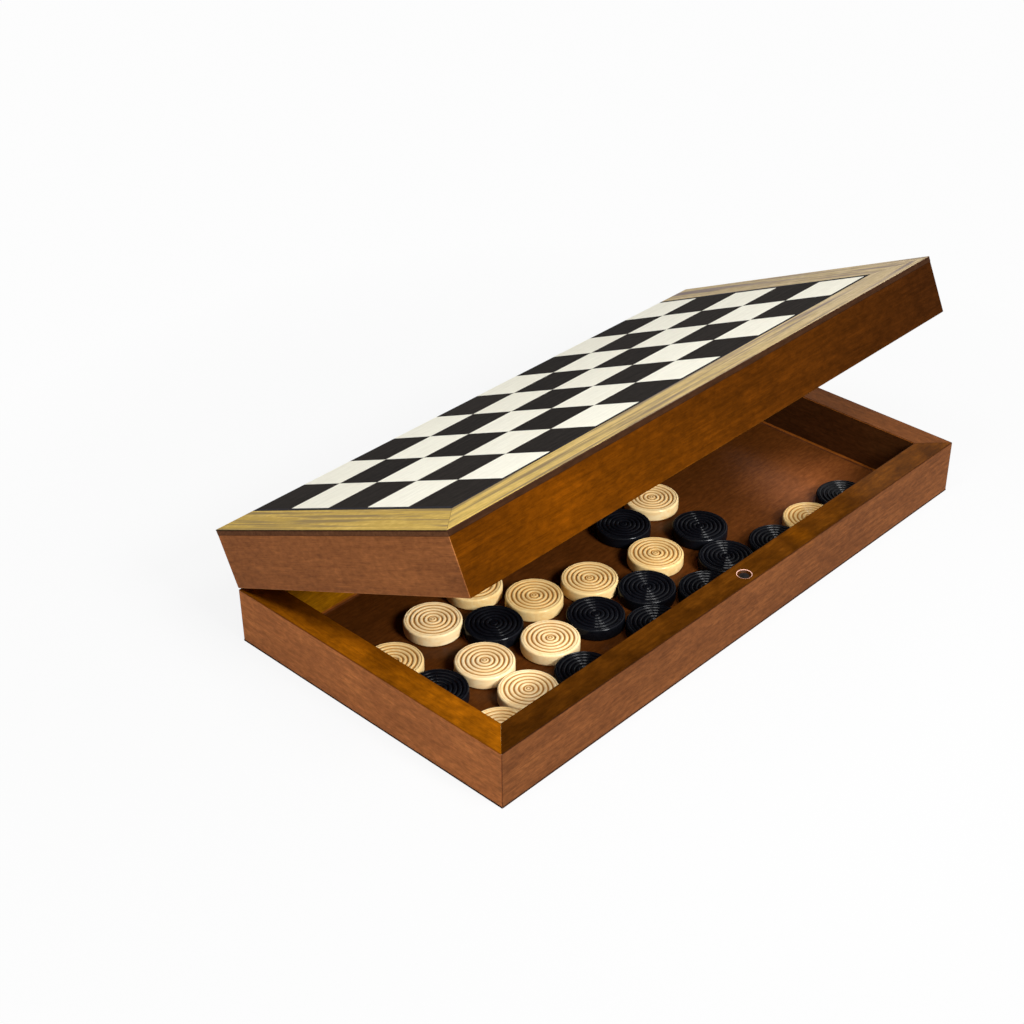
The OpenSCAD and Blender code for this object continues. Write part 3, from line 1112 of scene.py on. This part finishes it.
# ---- floor, light and camera ----

FLOOR_SIZE = 8.0
FLOOR_COLOUR = (0.56, 0.56, 0.56, 1.0)
PLAIN_COLOUR = (0.98, 0.98, 0.98, 1.0)
SKY_COLOUR = (1.0, 1.0, 1.0, 1.0)
# The floor is seen as plain white from the first share to all of it, between two distances.
PLAIN_RANGE = (0.20, 0.40)
PLAIN_SHARE = (0.90, 1.0)
# The sky's strength as a light, and as seen directly.
SKY_STRENGTH = (0.12, 1.0)
# Each lamp: where it stands, where it points, its size and its power.
LAMPS = {
    "front": ((-0.10, -1.24, 0.93), (0.0, 0.0, 0.03), 0.48, 31.0),
    "overhead": ((-0.70, 0.05, 1.45), (0.0, 0.0, 0.06), 0.36, 7.0),
    "corner": ((-0.50, -0.50, 1.32), (0.0, 0.0, 0.03), 0.45, 4.0),
    "high": ((0.05, -0.62, 1.20), (0.0, 0.0, 0.03), 0.45, 8.0),
}
# The camera that was fitted to the photograph. Its azimuth turns from +Y to +X.
CAMERA_PLACE = (-0.5955, -0.50425, 0.542)
AZIMUTH = math.radians(47.24)
ELEVATION = math.radians(-33.18)
ROLL = math.radians(0.19)
LENS_MM = 63.46
SENSOR_MM = 36.0
SHIFT_X = -0.039
SHIFT_Y = -0.003


def seen_directly(g):
    """1 for rays from the camera, a mirror or glass, and 0 for light that falls on things."""
    path = g.node("LightPath").outputs
    either = g.math("MAXIMUM", path["Is Camera Ray"], path["Is Glossy Ray"])
    return g.math("MAXIMUM", either, path["Is Transmission Ray"])


def make_floor():
    """A pale floor that keeps the shadow near the box and is plain white further off."""
    g = material_graph("floor")
    away = g.vector_math("LENGTH", g.place())["Value"]
    matt = g.node("BsdfDiffuse", {"Color": FLOOR_COLOUR}).outputs[0]
    plain = g.node("Emission", {"Color": PLAIN_COLOUR}).outputs[0]
    share = g.product(g.spread(away, PLAIN_RANGE, PLAIN_SHARE), seen_directly(g))
    shader = g.node("MixShader", {0: share, 1: matt, 2: plain}).outputs[0]
    g.node("OutputMaterial", {"Surface": shader})
    bm = bmesh.new()
    bmesh.ops.create_grid(bm, x_segments=1, y_segments=1, size=FLOOR_SIZE / 2)
    mesh = to_mesh(bm, "floor")
    mesh.materials.append(g.owner)
    floor = bpy.data.objects.new("floor", mesh)
    bpy.context.scene.collection.objects.link(floor)


def make_world():
    """A white studio to look at, and a weaker one for the light that it gives."""
    world = bpy.data.worlds.new("studio")
    bpy.context.scene.world = world
    g = Graph(world)
    strength = g.spread(seen_directly(g), (0.0, 1.0), SKY_STRENGTH)
    sky = g.node("Background", {"Color": SKY_COLOUR, "Strength": strength}).outputs[0]
    g.node("OutputWorld", {"Surface": sky})


def make_lamps():
    for name, (place, aim, size, power) in LAMPS.items():
        light = bpy.data.lights.new(name, "AREA")
        light.shape = "DISK"
        light.size = size
        light.energy = power
        obj = bpy.data.objects.new(name, light)
        bpy.context.scene.collection.objects.link(obj)
        obj.location = place
        turn = (Vector(aim) - Vector(place)).to_track_quat("-Z", "Y")
        obj.rotation_euler = turn.to_euler()


def make_camera():
    data = bpy.data.cameras.new("photo_camera")
    data.lens = LENS_MM
    data.sensor_width = SENSOR_MM
    data.shift_x = SHIFT_X
    data.shift_y = SHIFT_Y
    camera = bpy.data.objects.new("photo_camera", data)
    bpy.context.scene.collection.objects.link(camera)
    look = Vector((
        math.cos(ELEVATION) * math.sin(AZIMUTH),
        math.cos(ELEVATION) * math.cos(AZIMUTH),
        math.sin(ELEVATION),
    ))
    turn = look.to_track_quat("-Z", "Y").to_matrix().to_4x4()
    roll = Matrix.Rotation(ROLL, 4, "Z")
    camera.matrix_world = Matrix.Translation(CAMERA_PLACE) @ turn @ roll
    bpy.context.scene.camera = camera


make_floor()
make_world()
make_lamps()
make_camera()
bpy.context.scene.view_settings.view_transform = "Standard"

bpy.context.view_layer.update()
